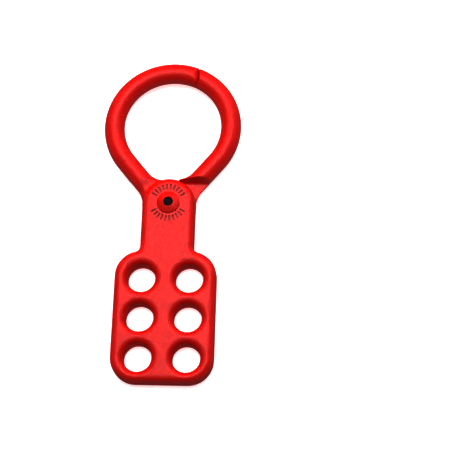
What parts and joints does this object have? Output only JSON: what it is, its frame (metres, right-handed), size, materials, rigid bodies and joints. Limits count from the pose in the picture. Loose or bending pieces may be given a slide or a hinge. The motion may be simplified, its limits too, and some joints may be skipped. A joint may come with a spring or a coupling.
{
  "type": "lockout hasp",
  "caption": "Scissor-action non-conductive lockout hasp: two moulded halves on one pivot, with a round jaw loop and a tab of padlock holes.",
  "frame": {"origin": "middle of the closed hasp's footprint, on the surface that its back lies on; the pivot axis is 5 mm along +Y from it", "axes": "+X across the hasp, +Y from the padlock tab to the jaws, +Z out of the front face"},
  "size_m": [0.0534, 0.1288, 0.009],
  "materials": {
    "red_nylon": "satin moulded",
    "black_steel": "black oxide"
  },
  "bodies": {
    "pivot": {"pivot_rivet": "red_nylon", "core_pin": "black_steel"},
    "front": {"front_half": "red_nylon"},
    "rear": {"rear_half": "red_nylon"}
  },
  "joints": [
    {"name": "front_swing", "type": "hinge", "parent": "pivot", "child": "front", "pos_m": [0, 0.005, 0.00385], "axis": [0, 0, 1], "range_deg": [0, 38]},
    {"name": "rear_swing", "type": "hinge", "parent": "pivot", "child": "rear", "pos_m": [0, 0.005, 0.00385], "axis": [0, 0, -1], "range_deg": [0, 38]}
  ]
}
